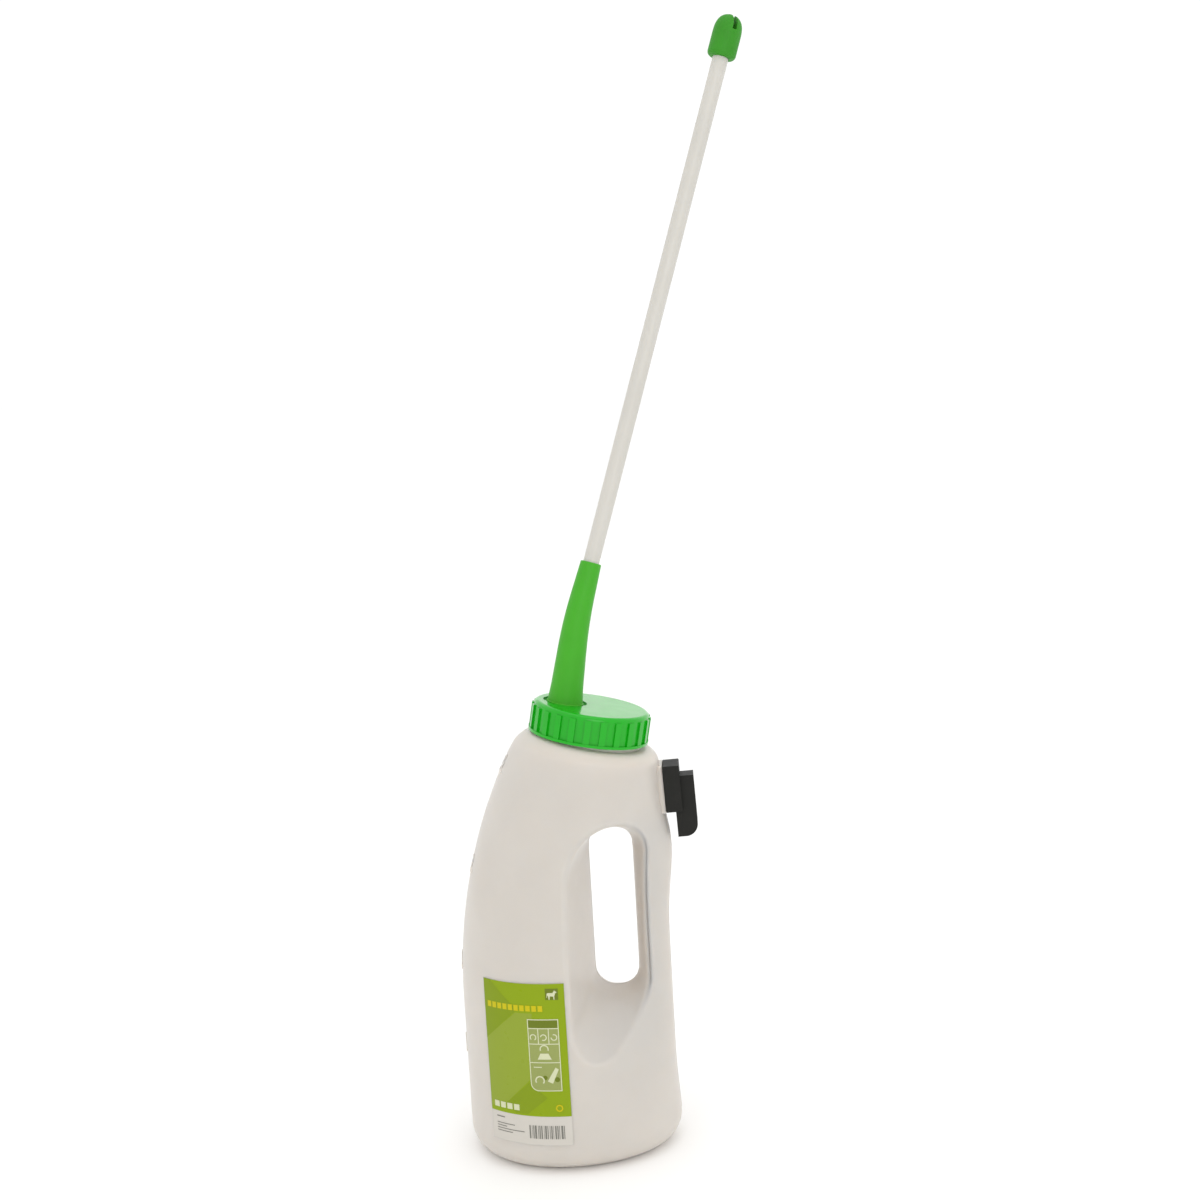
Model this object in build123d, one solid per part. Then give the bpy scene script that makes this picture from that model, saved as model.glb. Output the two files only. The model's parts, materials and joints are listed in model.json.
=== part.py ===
"""Calf drencher: a four-litre blow-moulded bottle with a moulded grip, a ribbed screw cap,
a swivelling bent spout, a long feeding tube with a slotted bulb tip, and a slide-on hook.

Frame, in millimetres: origin at the centre of the base on the floor, +Z up, -X towards the
pouring front, +X towards the grip and the hook, Y across the width.
"""
from build123d import *
import math
import os

# ---- Bottle: body ---------------------------------------------------------------------
HALF_LENGTH = 80.5        # half of the base, front to back
HALF_WIDTH = 68.0         # half of the belly, side to side
TOP_HALF_WIDTH = 52.0     # the same at the shoulder
WALL = 2.0                # blow-moulded wall
BASE_ROUND = 20.0         # radius round the base
SHOULDER_ROUND = 12.0     # radius where the body meets the neck
BELLY_TOP = 120.0         # the front stays plumb up to here
LEAN_RADIUS = 400.0       # then leans back along this arc
FRONT_TOP_Z = 322.5       # front end of the tilted shoulder plane
REAR_TOP_Z = 302.7        # rear end of the same plane
WIDEST_X = -6.0           # widest place of the oval, measured at the base
GRIP_TAPER = 0.5          # how much the oval narrows at the grip
GRIP_NECKING = (0.2, 0.85)  # where that narrowing begins and ends along the rear half
PUSH_UP = 4.0             # height of the concave middle of the base
STAND_RING = 9.0          # width of the ring the bottle stands on
STATIONS = 14             # sections lofted from base to shoulder
ROUND_STATIONS = 5        # further sections round the shoulder
OUTLINE_POINTS = 24       # points on each oval section

# ---- Bottle: grip opening, narrowest on the mid-plane ----------------------------------
GRIP_X = (20.8, 54.2)     # front and rear walls of the finger opening
GRIP_Z = (121.0, 246.0)   # bottom and top
GRIP_CORNER = 15.0
FLARE_START = 12.0        # distance from the mid-plane where the walls begin to flare
FLARE_SOFT = 12.0         # how gradually they do so
FLARE_X = (0.30, 0.90)    # slope of the flare at the front and rear walls
FLARE_Z = (1.05, 0.30)    # slope at the bottom and top
FLARE_CORNER = 0.62       # growth of the corner radius
FLARE_REACH = 71.0        # the opening is cut this far out on each side
FLARE_STATIONS = 8        # sections lofted on each side of the mid-plane
CREASE_ROUND = 5.0        # rounding where the flare meets the sides

# ---- Bottle: neck, hook rail and graduation --------------------------------------------
NECK_ORIGIN = (25.5, 0.0, 314.9)
NECK_TILT = 11.0          # the neck leans towards the grip
NECK_R = 40.0
NECK_BORE_R = 37.5
RIM_H = 18.1              # rim above the cap's lower edge
SHOULDER_H = -2.3         # shoulder plane, in the neck's own frame

HOOK_ORIGIN = (79.9, 0.0, 272.8)
HOOK_LEAN = 2.5
PAD_WIDTH, PAD_HEIGHT = 22.0, 36.0
RAIL_NECK, RAIL_HEAD = 8.0, 16.0        # widths of the T-rail's stem and head
RAIL_STEM_X, RAIL_HEAD_X = 3.2, 6.0     # their reach out from the pad
RAIL_TOP = 13.5

MARK_HEIGHTS = (78.0, 143.0, 217.0, 292.0)   # one mark for each litre
MARK_PROUD = 0.8
MARK_THICK = 1.6

# ---- Screw cap, gasket -----------------------------------------------------------------
CAP_TOP_H = 22.6
CAP_RIB_TOP_H = 19.4
CAP_UNDER_H = 20.1
CAP_FLANGE_R, CAP_FLANGE_H = 45.1, 2.0
CAP_RIB_R, CAP_SKIRT_R, CAP_BORE_R = 44.6, 43.2, 41.0
CAP_ROUND = 3.4
RIB_COUNT = 24
RIB_ANGLE = 6.0
HOLE_OFFSET = -20.4       # spout hole, off the cap's centre towards the front
HOLE_R = 11.6
RECESS_R, RECESS_DEPTH = 16.5, 1.5
BOSS_R, BOSS_H = 14.2, 16.6
GASKET_R, GASKET_BORE_R, GASKET_THICK = 40.5, 35.2, 1.95     # stays just clear of the cap

# ---- Spout and its seal ----------------------------------------------------------------
SPOUT_BEND = 10.5
SPOUT_TURN = 52.5         # the bend's direction about the hole's axis, from +X towards +Y
SPOUT_STRAIGHT, SPOUT_ARC, SPOUT_SOCKET = 40.0, 42.0, 25.0
SPOUT_BASE_R, SPOUT_TOP_R = 12.65, 7.8
SPOUT_FLARE, SPOUT_FLARE_LENGTH = 0.75, 18.0
BEAD_R, BEAD_H = 13.9, 1.6
SHANK_R, SHANK_BORE_R = 11.54, 8.0
SHANK_BOTTOM_H = 12.6
BARB_R, BARB_H = 12.8, 2.6
SEAL_R, SEAL_SECTION_R, SEAL_H = 10.8, 0.75, 18.9

# ---- Feeding tube and bulb tip ---------------------------------------------------------
TUBE_R, TUBE_BORE_R = 6.0, 4.0
SOCKET_R = 6.04
TUBE_SHOWN = 385.0        # from the spout's mouth to the tip
TIP_R, TIP_LENGTH, TIP_SOCKET = 10.8, 32.5, 19.0
TIP_OUTLET_R = 2.6
TIP_SLOT, TIP_SLOT_DEPTH = 3.4, 12.0
TIP_SLOT_TURN = -68.0

# ---- Hook ------------------------------------------------------------------------------
BLOCK_X, BLOCK_Y, BLOCK_Z = 12.5, 24.0, 35.0
TONGUE_X = (7.3, 22.6)
TONGUE_Y = 16.0
TONGUE_TOP, TONGUE_BOTTOM = 8.7, -37.5
TONGUE_ROUND = 9.2
SLIDE_GAP = 0.12

# ---- Label -----------------------------------------------------------------------------
LABEL_X = (-59.0, 1.5)
LABEL_Z = (24.0, 147.0)
LABEL_THICK = 0.25



def leaning(origin, degrees):
    """Frame whose Z axis leans from the vertical towards +X by degrees."""
    return Pos(*origin) * Rot(0, degrees, 0)


NECK = leaning(NECK_ORIGIN, NECK_TILT)
HOOK = leaning(HOOK_ORIGIN, -HOOK_LEAN)


def ease(value, start, end):
    """Smooth step from 0 to 1 between start and end."""
    t = min(1.0, max(0.0, (value - start) / (end - start)))
    return t * t * (3 - 2 * t)


# ---- Bottle ----------------------------------------------------------------------------
def front_x(z):
    """Front outline: plumb, then a large arc leaning back to the neck."""
    rise = max(0.0, z - BELLY_TOP)
    return -HALF_LENGTH + LEAN_RADIUS - math.sqrt(LEAN_RADIUS ** 2 - rise ** 2)


def rear_x(z):
    """Rear outline: a nearly plumb back that swells into a thumb stop below the hook."""
    back = HALF_LENGTH - 2.4 * ease(z, 15, 65) - 1.2 * ease(z, 250, 300)
    return back + 5.4 * ease(z, 165, 236) * (1 - ease(z, 240, 256))


def section(front_z, inset):
    """Closed oval through the front outline at front_z and the matching rear point."""
    rear_z = front_z * REAR_TOP_Z / FRONT_TOP_Z
    xf, xr = front_x(front_z) + inset, rear_x(rear_z) - inset
    length = math.hypot(xr - xf, front_z - rear_z)
    rise = ease(front_z, 130, FRONT_TOP_Z)
    half_width = HALF_WIDTH + (TOP_HALF_WIDTH - HALF_WIDTH) * rise - inset
    widest = (HALF_LENGTH + WIDEST_X) / (2 * HALF_LENGTH)
    widest = length * (widest + (0.5 - widest) * rise)
    taper = GRIP_TAPER * ease(front_z, 20, 130) * (1 - ease(front_z, 215, FRONT_TOP_Z))
    points = []
    for i in range(OUTLINE_POINTS):
        turn = 2 * math.pi * i / OUTLINE_POINTS
        reach = length - widest if math.cos(turn) > 0 else widest
        u = widest + reach * math.cos(turn)
        narrow = 1 - taper * ease(math.cos(turn), *GRIP_NECKING)
        v = half_width * math.sin(turn) * narrow
        along = u / length
        points.append((xf + (xr - xf) * along, v, front_z + (rear_z - front_z) * along))
    return Wire(Edge.make_spline([Vector(*p) for p in points], periodic=True))


def flare(y):
    """How far a wall of unit slope has opened at distance y from the mid-plane."""
    past = abs(y) - FLARE_START
    start = (math.hypot(FLARE_START, FLARE_SOFT) - FLARE_START) / 2
    return (past + math.hypot(past, FLARE_SOFT)) / 2 - start


def grip_cutter(grow):
    """Hourglass-shaped finger opening, lofted across the bottle and blending into its sides."""
    sections = []
    for i in range(-FLARE_STATIONS, FLARE_STATIONS + 1):
        y = FLARE_REACH * i / FLARE_STATIONS
        open_by = flare(y)
        x_low = GRIP_X[0] - grow - FLARE_X[0] * open_by
        x_high = GRIP_X[1] + grow + FLARE_X[1] * open_by
        z_low = GRIP_Z[0] - grow - FLARE_Z[0] * open_by
        z_high = GRIP_Z[1] + grow + FLARE_Z[1] * open_by
        corner = GRIP_CORNER + grow + FLARE_CORNER * open_by
        centre = ((x_low + x_high) / 2, y, (z_low + z_high) / 2)
        plane = Plane(centre, x_dir=(1, 0, 0), z_dir=(0, -1, 0))
        sections.append(plane * RectangleRounded(x_high - x_low, z_high - z_low, corner))
    return loft(sections)


def body(inset):
    """The bottle's body without its neck, offset inwards by inset."""
    top = FRONT_TOP_Z - inset
    side_top = top - SHOULDER_ROUND
    sections = []
    for i in range(STATIONS):
        sections.append(section(inset + (side_top - inset) * i / (STATIONS - 1), inset))
    for i in range(1, ROUND_STATIONS + 1):
        turn = math.radians(90 * i / ROUND_STATIONS)
        rise, shrink = SHOULDER_ROUND * math.sin(turn), SHOULDER_ROUND * (1 - math.cos(turn))
        sections.append(section(side_top + rise, inset + shrink))
    solid = Solid.make_loft(sections)
    return fillet(solid.edges().group_by(Axis.Z)[0], BASE_ROUND - inset)


def shaped_body():
    """The outer body with its finger opening, whose outer edge is rounded over."""
    solid = body(0) - grip_cutter(0)
    creases = [e for e in solid.edges() if abs(e.center().Y) > FLARE_START
               and GRIP_Z[0] - 50 < e.center().Z < GRIP_Z[1] + 30]
    return fillet(creases, CREASE_ROUND)


def neck_cylinder(radius, low, high, plane=NECK, offset=0.0):
    """Cylinder along a plane's axis between two heights of that plane's frame."""
    place = plane * Pos(offset, 0, low)
    return place * Cylinder(radius, high - low, align=(Align.CENTER, Align.CENTER, Align.MIN))


def base_dish():
    """Sphere whose cap is the shallow push-up inside the standing ring."""
    ring = HALF_WIDTH - BASE_ROUND - STAND_RING
    radius = (ring ** 2 + PUSH_UP ** 2) / (2 * PUSH_UP)
    return Pos(0, 0, PUSH_UP - radius) * Sphere(radius)


def hook_box(x_range, width, z_range):
    """Box in the hook's own frame, centred across the width."""
    size = (x_range[1] - x_range[0], width, z_range[1] - z_range[0])
    return HOOK * Pos(sum(x_range) / 2, 0, sum(z_range) / 2) * Box(*size)


def hook_rail():
    """Raised pad on the bottle's back with the T-rail that carries the hook."""
    pad = hook_box((-7.0, 0.0), PAD_WIDTH, (-PAD_HEIGHT / 2, PAD_HEIGHT / 2))
    stem = hook_box((-1.0, RAIL_HEAD_X), RAIL_NECK, (-BLOCK_Z / 2, RAIL_TOP))
    head = hook_box((RAIL_STEM_X, RAIL_HEAD_X), RAIL_HEAD, (-BLOCK_Z / 2, RAIL_TOP))
    return pad + stem + head


def bottle():
    """Blow-moulded shell: body, grip, neck, push-up base, hook rail and litre marks."""
    outer = shaped_body()
    solid = outer + neck_cylinder(NECK_R, SHOULDER_H - 6, RIM_H) + hook_rail()
    for z in MARK_HEIGHTS:
        bar = Pos(front_x(z), 0, z) * Box(24, 26, MARK_THICK)
        solid = solid + (bar & (Pos(-MARK_PROUD, 0, 0) * outer))
    dish = base_dish()
    hollow = body(WALL) - grip_cutter(WALL) - Pos(0, 0, WALL) * dish
    return solid - dish - hollow - neck_cylinder(NECK_BORE_R, SHOULDER_H - 12, RIM_H + 1)


def label():
    """Self-adhesive label lying on the side of the belly."""
    window = Pos(sum(LABEL_X) / 2, -HALF_WIDTH, sum(LABEL_Z) / 2)
    window = window * Box(LABEL_X[1] - LABEL_X[0], HALF_WIDTH, LABEL_Z[1] - LABEL_Z[0])
    return (window & body(-LABEL_THICK)) - body(0)


# ---- Screw cap and gasket --------------------------------------------------------------
def screw_cap():
    """Ribbed cap: skirt, flange, rounded top, spout hole in a recess with a boss under it."""
    with BuildPart() as cap:
        with BuildSketch(Plane.XZ):
            with BuildLine():
                Polyline((0, CAP_UNDER_H), (CAP_BORE_R, CAP_UNDER_H), (CAP_BORE_R, 0),
                         (CAP_FLANGE_R, 0), (CAP_FLANGE_R, CAP_FLANGE_H),
                         (CAP_SKIRT_R, CAP_FLANGE_H), (CAP_SKIRT_R, CAP_TOP_H - CAP_ROUND))
                TangentArc((CAP_SKIRT_R, CAP_TOP_H - CAP_ROUND), (CAP_SKIRT_R - CAP_ROUND, CAP_TOP_H),
                           tangent=(0, 1))
                Polyline((CAP_SKIRT_R - CAP_ROUND, CAP_TOP_H), (0, CAP_TOP_H), (0, CAP_UNDER_H))
            make_face()
        revolve(axis=Axis.Z)
        with PolarLocations(0, RIB_COUNT):
            depth = CAP_RIB_R - CAP_SKIRT_R + 1
            width = 2 * CAP_RIB_R * math.sin(math.radians(RIB_ANGLE / 2))
            with Locations((CAP_RIB_R - depth / 2, 0, (CAP_FLANGE_H + CAP_RIB_TOP_H) / 2)):
                Box(depth, width, CAP_RIB_TOP_H - CAP_FLANGE_H + 0.2)
    hole = Pos(HOLE_OFFSET, 0, 0)
    upward = (Align.CENTER, Align.CENTER, Align.MIN)
    boss = hole * Pos(0, 0, BOSS_H) * Cylinder(BOSS_R, CAP_TOP_H - RECESS_DEPTH - BOSS_H, align=upward)
    recess = hole * Pos(0, 0, CAP_TOP_H - RECESS_DEPTH) * Cylinder(RECESS_R, 5, align=upward)
    bore = hole * Cylinder(HOLE_R, CAP_TOP_H + 5, align=upward)
    return NECK * (cap.part + boss - recess - bore)


def cap_gasket():
    """Flat washer between the neck's rim and the cap."""
    outer = neck_cylinder(GASKET_R, RIM_H, RIM_H + GASKET_THICK)
    return outer - neck_cylinder(GASKET_BORE_R, RIM_H - 1, RIM_H + GASKET_THICK + 1)


# ---- Spout -----------------------------------------------------------------------------
RECESS_FLOOR_H = CAP_TOP_H - RECESS_DEPTH
SPOUT = NECK * Pos(HOLE_OFFSET, 0, RECESS_FLOOR_H) * Rot(0, 0, SPOUT_TURN)
SPOUT_LENGTH = SPOUT_STRAIGHT + SPOUT_ARC + SPOUT_SOCKET


def spout_frame(s):
    """Frame on the spout's centre line at distance s from the recess floor."""
    bend = math.radians(SPOUT_BEND)
    radius = SPOUT_ARC / bend
    turn = min(max(s - SPOUT_STRAIGHT, 0.0) / radius, bend)
    x, z = radius * (1 - math.cos(turn)), min(s, SPOUT_STRAIGHT) + radius * math.sin(turn)
    past = max(0.0, s - SPOUT_STRAIGHT - SPOUT_ARC)
    x, z = x + past * math.sin(turn), z + past * math.cos(turn)
    return leaning((x, 0, z), math.degrees(turn))


def spout_radius(s):
    """Outer radius: an even taper with a small flare at the foot."""
    flare = SPOUT_FLARE * max(0.0, 1 - s / SPOUT_FLARE_LENGTH) ** 2
    return SPOUT_BASE_R + (SPOUT_TOP_R - SPOUT_BASE_R) * s / SPOUT_LENGTH + flare


def spout_loft(stations, radius_at):
    """Round solid along the spout's centre line."""
    return loft([spout_frame(s) * Circle(radius_at(s)) for s in stations])


def spout():
    """Bent spout: tapered body, bead, shank with snap barb and seal groove, milk channel."""
    foot = 0.1
    stations = [foot, 4, 9, 14, 20, 30, SPOUT_STRAIGHT, 50, 60, 70, SPOUT_STRAIGHT + SPOUT_ARC,
                95, SPOUT_LENGTH]
    outside = spout_loft(stations, spout_radius)
    outside = fillet(outside.edges().sort_by(Axis.Z)[-1], 0.9)
    bead = fillet((Pos(0, 0, foot + BEAD_H / 2) * Cylinder(BEAD_R, BEAD_H)).edges(), 0.6)
    upward = (Align.CENTER, Align.CENTER, Align.MIN)
    bottom = SHANK_BOTTOM_H - RECESS_FLOOR_H
    shank = Pos(0, 0, bottom) * Cylinder(SHANK_R, foot - bottom + 1, align=upward)
    barb_top = BOSS_H - 0.2 - RECESS_FLOOR_H
    barb = Pos(0, 0, barb_top - BARB_H / 2) * Cone(SHANK_R, BARB_R, BARB_H)
    seal_z = SEAL_H - RECESS_FLOOR_H
    groove = Pos(0, 0, seal_z) * Box(40, 40, 2 * SEAL_SECTION_R + 0.2)
    groove = groove - Pos(0, 0, seal_z) * Cylinder(SEAL_R - SEAL_SECTION_R - 0.05, 4)
    channel_end = SPOUT_LENGTH - SPOUT_SOCKET
    channel = spout_loft([bottom - 1, 0, 20, SPOUT_STRAIGHT, 50, 60, 70, channel_end],
                         lambda s: SHANK_BORE_R + (TUBE_BORE_R - SHANK_BORE_R)
                         * min(1.0, max(0.0, s) / channel_end))
    socket = spout_frame(channel_end) * Cylinder(SOCKET_R, SPOUT_SOCKET + 2, align=upward)
    solid = outside + bead + (shank + barb - groove)
    for turn in (0, 90):
        slit = Pos(0, 0, bottom - 1) * Rot(0, 0, turn) * Box(40, 1.6, 2 * (barb_top - bottom) + 0.6)
        solid = solid - slit
    return SPOUT * (solid - channel - socket)


def spout_seal_ring():
    """O-ring in the shank's groove."""
    return SPOUT * Pos(0, 0, SEAL_H - RECESS_FLOOR_H) * Torus(SEAL_R, SEAL_SECTION_R)


# ---- Feeding tube and tip --------------------------------------------------------------
TUBE_FOOT = SPOUT * spout_frame(SPOUT_LENGTH - SPOUT_SOCKET)
TIP_FOOT = SPOUT * spout_frame(SPOUT_LENGTH) * Pos(0, 0, TUBE_SHOWN)


def feeding_tube():
    """Straight rigid tube pushed into the spout, with eased ends."""
    length = SPOUT_SOCKET + TUBE_SHOWN + TIP_SOCKET
    upward = (Align.CENTER, Align.CENTER, Align.MIN)
    tube = Cylinder(TUBE_R, length, align=upward) - Cylinder(TUBE_BORE_R, length, align=upward)
    return TUBE_FOOT * chamfer(tube.edges().filter_by(GeomType.CIRCLE), 0.5)


def tube_tip():
    """Rounded bulb with a socket for the tube, a central outlet and a slot across its end."""
    with BuildPart() as bulb:
        with BuildSketch(Plane.XZ):
            with BuildLine():
                Polyline((0, 0), (7.6, 0))
                Spline((7.6, 0), (9.7, 2.0), (TIP_R, 7.0), (TIP_R - 0.2, 15.0), (TIP_R - 1.3, 23.0),
                       (7.6, 29.0), (4.0, TIP_LENGTH - 0.5), (0, TIP_LENGTH),
                       tangents=((1, 0.4), (-1, 0)))
                Line((0, TIP_LENGTH), (0, 0))
            make_face()
        revolve(axis=Axis.Z)
    upward = (Align.CENTER, Align.CENTER, Align.MIN)
    socket = Pos(0, 0, -1) * Cylinder(SOCKET_R, TIP_SOCKET + 1, align=upward)
    outlet = Cylinder(TIP_OUTLET_R, TIP_LENGTH + 1, align=upward)
    slot = Pos(0, -10, TIP_LENGTH - TIP_SLOT_DEPTH / 2 + 1)
    slot = Rot(0, 0, TIP_SLOT_TURN + 90) * slot * Box(TIP_SLOT, 20, TIP_SLOT_DEPTH + 2)
    across = Rot(0, 0, TIP_SLOT_TURN + 90) * Pos(0, 0, TIP_LENGTH) * Box(TIP_SLOT, 40, 8)
    return TIP_FOOT * (bulb.part - socket - outlet - slot - across)


# ---- Hook ------------------------------------------------------------------------------
def hanging_hook():
    """Block with a T-slot that slides down on the rail, and a tongue that hangs on a bar."""
    block = hook_box((SLIDE_GAP, BLOCK_X), BLOCK_Y, (-BLOCK_Z / 2, BLOCK_Z / 2))
    block = chamfer(block.edges().filter_by(Axis.Y), 0.5)
    tongue = hook_box((TONGUE_X[0], TONGUE_X[1]), TONGUE_Y, (TONGUE_BOTTOM, TONGUE_TOP))
    corner = sorted(tongue.edges().filter_by(Axis.Y), key=lambda e: e.center().X - e.center().Z)[-1]
    tongue = fillet(corner, TONGUE_ROUND)
    stem = hook_box((-1, RAIL_HEAD_X), RAIL_NECK + 4 * SLIDE_GAP, (-BLOCK_Z, RAIL_TOP))
    head = hook_box((RAIL_STEM_X - 2 * SLIDE_GAP, RAIL_HEAD_X + 2 * SLIDE_GAP),
                    RAIL_HEAD + 4 * SLIDE_GAP, (-BLOCK_Z / 2 - 1, RAIL_TOP))
    return (block - stem - head) + tongue


NODES = {
    "bottle": bottle,
    "bottle_label": label,
    "screw_cap": screw_cap,
    "cap_gasket": cap_gasket,
    "spout": spout,
    "spout_seal_ring": spout_seal_ring,
    "feeding_tube": feeding_tube,
    "tube_tip": tube_tip,
    "hanging_hook": hanging_hook,
}

os.makedirs("parts", exist_ok=True)
for name, make in NODES.items():
    export_step(make(), f"parts/{name}.step")
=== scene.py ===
"""Calf drencher bottle: materials, printed label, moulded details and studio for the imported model.

Laid out as a Blender add-on and run as a script. Lengths are in metres unless a name ends in MM.
"""
import json
import math

import bmesh
import bpy
from mathutils import Matrix, Vector
from mathutils.bvhtree import BVHTree


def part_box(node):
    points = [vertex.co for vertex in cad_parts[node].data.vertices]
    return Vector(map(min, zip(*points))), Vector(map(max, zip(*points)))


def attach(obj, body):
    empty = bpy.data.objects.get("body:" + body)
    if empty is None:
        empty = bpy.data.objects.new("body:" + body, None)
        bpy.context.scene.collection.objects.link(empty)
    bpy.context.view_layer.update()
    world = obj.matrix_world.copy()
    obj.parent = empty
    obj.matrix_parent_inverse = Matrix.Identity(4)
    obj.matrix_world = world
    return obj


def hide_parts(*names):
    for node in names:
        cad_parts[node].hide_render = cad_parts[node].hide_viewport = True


bl_info = {
    "name": "Calf Drencher Bottle",
    "version": (1, 0, 0),
    "blender": (4, 5, 0),
    "location": "3D View > Sidebar > Drencher",
    "description": "Dresses the calf drencher bottle with its materials, label and moulded details",
    "category": "Object",
}

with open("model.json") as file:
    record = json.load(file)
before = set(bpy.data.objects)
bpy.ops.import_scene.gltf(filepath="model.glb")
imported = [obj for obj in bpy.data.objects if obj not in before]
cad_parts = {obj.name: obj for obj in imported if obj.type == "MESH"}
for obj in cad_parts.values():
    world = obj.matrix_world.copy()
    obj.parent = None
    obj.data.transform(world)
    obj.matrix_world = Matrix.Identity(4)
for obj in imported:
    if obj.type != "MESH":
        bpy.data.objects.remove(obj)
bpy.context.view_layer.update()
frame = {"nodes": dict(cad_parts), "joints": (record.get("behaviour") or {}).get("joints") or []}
JOINTS = {joint["name"]: joint for joint in frame["joints"]}
MM = 0.001


# ---- Small helpers ---------------------------------------------------------------------
def linear(hex_colour, alpha=None):
    """sRGB hex colour as linear RGB, or RGBA when alpha is given."""
    channels = []
    for i in (1, 3, 5):
        value = int(hex_colour[i:i + 2], 16) / 255
        channels.append(value / 12.92 if value <= 0.04045 else ((value + 0.055) / 1.055) ** 2.4)
    return tuple(channels) if alpha is None else (*channels, alpha)


def add_node(tree, kind, settings=None, values=None, links=None):
    """Adds a shader node with its own properties, its sockets' values and its sources."""
    node = tree.nodes.new(kind)
    for name, value in (settings or {}).items():
        setattr(node, name, value)
    for socket, value in (values or {}).items():
        node.inputs[socket].default_value = value
    for socket, source in (links or {}).items():
        tree.links.new(source, node.inputs[socket])
    return node


def surface_tree(name):
    """New material with only an output; returns the material, its tree and its output node."""
    material = bpy.data.materials.new(name)
    material.use_nodes = True
    material.node_tree.nodes.clear()
    output = add_node(material.node_tree, "ShaderNodeOutputMaterial")
    return material, material.node_tree, output


def varied_colour(tree, coords, colour, patch_mm, amount):
    """Colour that drifts slightly lighter and darker over patches of a real size."""
    noise = add_node(tree, "ShaderNodeTexNoise",
                     values={"Scale": 1 / (patch_mm * MM), "Detail": 3.0, "Roughness": 0.55},
                     links={"Vector": coords})
    ramp = add_node(tree, "ShaderNodeValToRGB", links={"Fac": noise.outputs["Fac"]})
    ramp.color_ramp.elements[0].position = 0.3
    ramp.color_ramp.elements[1].position = 0.7
    ramp.color_ramp.elements[0].color = (*[c * (1 - amount) for c in colour], 1)
    ramp.color_ramp.elements[1].color = (*[min(1.0, c * (1 + amount)) for c in colour], 1)
    return ramp.outputs["Color"]


def grain_bump(tree, coords, grain_mm, depth_mm, detail=2.0):
    """Bump from a fine noise whose cells are grain_mm wide and depth_mm deep."""
    noise = add_node(tree, "ShaderNodeTexNoise",
                     values={"Scale": 1 / (grain_mm * MM), "Detail": detail, "Roughness": 0.6},
                     links={"Vector": coords})
    bump = add_node(tree, "ShaderNodeBump", values={"Strength": 1.0, "Distance": depth_mm * MM},
                    links={"Height": noise.outputs["Fac"]})
    return bump.outputs["Normal"]


def moulded_plastic(name, look):
    """Plastic from its look: colour, finish, grain, and how far light travels inside it."""
    material, tree, output = surface_tree(name)
    coords = add_node(tree, "ShaderNodeTexCoord").outputs["Object"]
    base = look.get("colour") or linear(look["hex"])
    colour = varied_colour(tree, coords, base, look["patch_mm"], look["drift"])
    normal = grain_bump(tree, coords, look["grain_mm"], look["depth_mm"])
    wear = add_node(tree, "ShaderNodeTexNoise", values={"Scale": 1 / (look["patch_mm"] * MM * 0.4)},
                    links={"Vector": coords})
    rough = add_node(tree, "ShaderNodeMapRange",
                     values={"From Min": 0.3, "From Max": 0.7,
                             "To Min": look["roughness"] - 0.03,
                             "To Max": look["roughness"] + 0.04},
                     links={"Value": wear.outputs["Fac"]})
    shader = add_node(tree, "ShaderNodeBsdfPrincipled",
                      values={"IOR": look["ior"], "Coat Weight": look.get("coat", 0.0),
                              "Specular IOR Level": look.get("specular", 0.5),
                              "Coat Roughness": 0.12,
                              "Subsurface Weight": look.get("subsurface", 0.0),
                              "Subsurface Radius": look.get("radius", (1.0, 1.0, 1.0)),
                              "Subsurface Scale": look.get("depth_inside_mm", 1.0) * MM},
                      links={"Base Color": colour, "Roughness": rough.outputs["Result"],
                             "Normal": normal})
    tree.links.new(shader.outputs["BSDF"], output.inputs["Surface"])
    return material


# Natural HDPE, blow-moulded: milky, warm, light glows through the two-millimetre wall.
NATURAL_HDPE = {"hex": "#D1C7BD", "patch_mm": 45, "drift": 0.02, "grain_mm": 1.6, "depth_mm": 0.02,
                "roughness": 0.34, "ior": 1.54, "subsurface": 0.75, "radius": (1.0, 0.86, 0.72),
                "depth_inside_mm": 9}
# Polypropylene, injection-moulded in a polished tool: the cap's hard gloss.
GLOSS_PP = {"hex": "#0CA611", "patch_mm": 30, "drift": 0.04, "grain_mm": 2.5, "depth_mm": 0.006,
            "roughness": 0.20, "ior": 1.49, "specular": 0.25, "coat": 0.35, "subsurface": 0.10,
            "radius": (0.2, 1.0, 0.2), "depth_inside_mm": 2}
# Low-density polyethylene, injection-moulded in an etched tool: the spout's soft satin.
SATIN_LDPE = {"hex": "#41A220", "patch_mm": 22, "drift": 0.04, "grain_mm": 0.7, "depth_mm": 0.02,
              "roughness": 0.45, "ior": 1.51, "specular": 0.25, "subsurface": 0.25,
              "radius": (0.3, 1.0, 0.25), "depth_inside_mm": 3}
# Thermoplastic rubber, moulded: the bulb tip is a touch darker and softer.
TIP_TPE = {"hex": "#338A1C", "patch_mm": 10, "drift": 0.05, "grain_mm": 0.6, "depth_mm": 0.03,
           "roughness": 0.52, "ior": 1.50, "specular": 0.25, "subsurface": 0.2,
           "radius": (0.3, 1.0, 0.25), "depth_inside_mm": 2}
# Polypropylene tube, extruded: off-white, with faint lengthwise variation.
EXTRUDED_PP = {"hex": "#C6C3BC", "patch_mm": 60, "drift": 0.025, "grain_mm": 1.2, "depth_mm": 0.01,
               "roughness": 0.36, "ior": 1.50, "subsurface": 0.3, "radius": (1.0, 0.9, 0.75),
               "depth_inside_mm": 3}
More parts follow.
